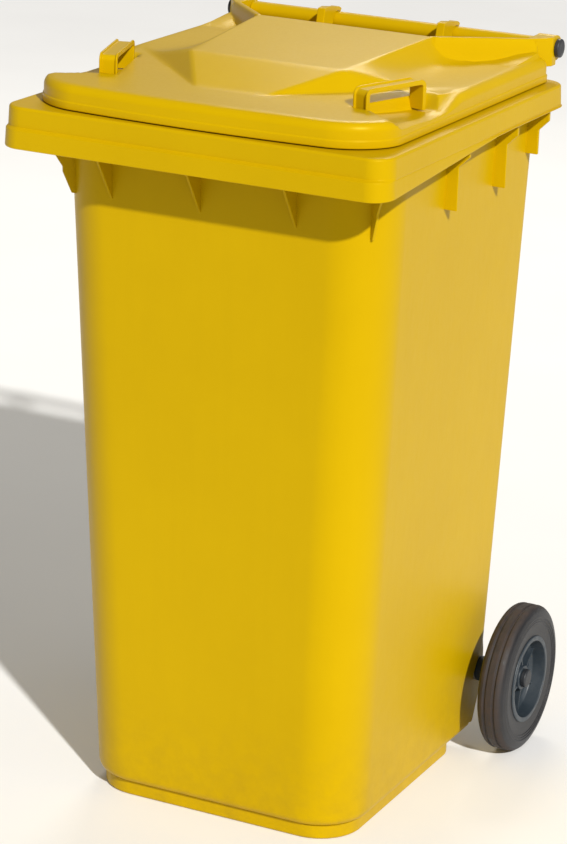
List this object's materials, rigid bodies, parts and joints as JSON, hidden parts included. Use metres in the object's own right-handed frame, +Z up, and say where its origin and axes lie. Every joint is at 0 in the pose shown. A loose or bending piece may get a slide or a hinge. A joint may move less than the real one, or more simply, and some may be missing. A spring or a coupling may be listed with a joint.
{
  "type": "wheelie bin",
  "caption": "Two-wheeled refuse bin with a tapered tub, a comb rim, a domed hinged lid, grips on the lid and a rear handle bar.",
  "frame": {"origin": "on the ground under the middle of the whole bin", "axes": "+Z up, -Y the bin's front, where the lid opens, +Y the handle bar and wheels, X along the axle and the lid's hinge"},
  "size_m": [0.5336, 0.609, 0.9693],
  "materials": {
    "tub": "satin moulded polyethylene",
    "lid": "glossy moulded polyethylene",
    "grey_plastic": "dark grey, satin",
    "hub_plastic": "dark blue-grey, satin",
    "tyre_rubber": "black solid rubber",
    "axle_steel": "zinc-plated steel"
  },
  "bodies": {
    "body": {"bin_body": "tub", "hinge_pin_left": "grey_plastic", "hinge_pin_right": "grey_plastic", "axle": "axle_steel", "thrust_washer_left": "axle_steel", "thrust_washer_right": "axle_steel", "axle_cap_left": "grey_plastic", "axle_cap_right": "grey_plastic"},
    "lid": {"lid": "lid"},
    "wheel_left": {"wheel_hub_left": "hub_plastic", "tyre_left": "tyre_rubber"},
    "wheel_right": {"wheel_hub_right": "hub_plastic", "tyre_right": "tyre_rubber"}
  },
  "joints": [
    {"name": "lid_hinge", "type": "hinge", "parent": "body", "child": "lid", "pos_m": [0, 0.2505, 0.945], "axis": [-1, 0, 0], "range_deg": [0, 245]},
    {"name": "wheel_left_spin", "type": "hinge", "parent": "body", "child": "wheel_left", "pos_m": [-0.2468, 0.2045, 0.1], "axis": [-1, 0, 0], "continuous": true},
    {"name": "wheel_right_spin", "type": "hinge", "parent": "body", "child": "wheel_right", "pos_m": [0.2468, 0.2045, 0.1], "axis": [-1, 0, 0], "continuous": true}
  ]
}
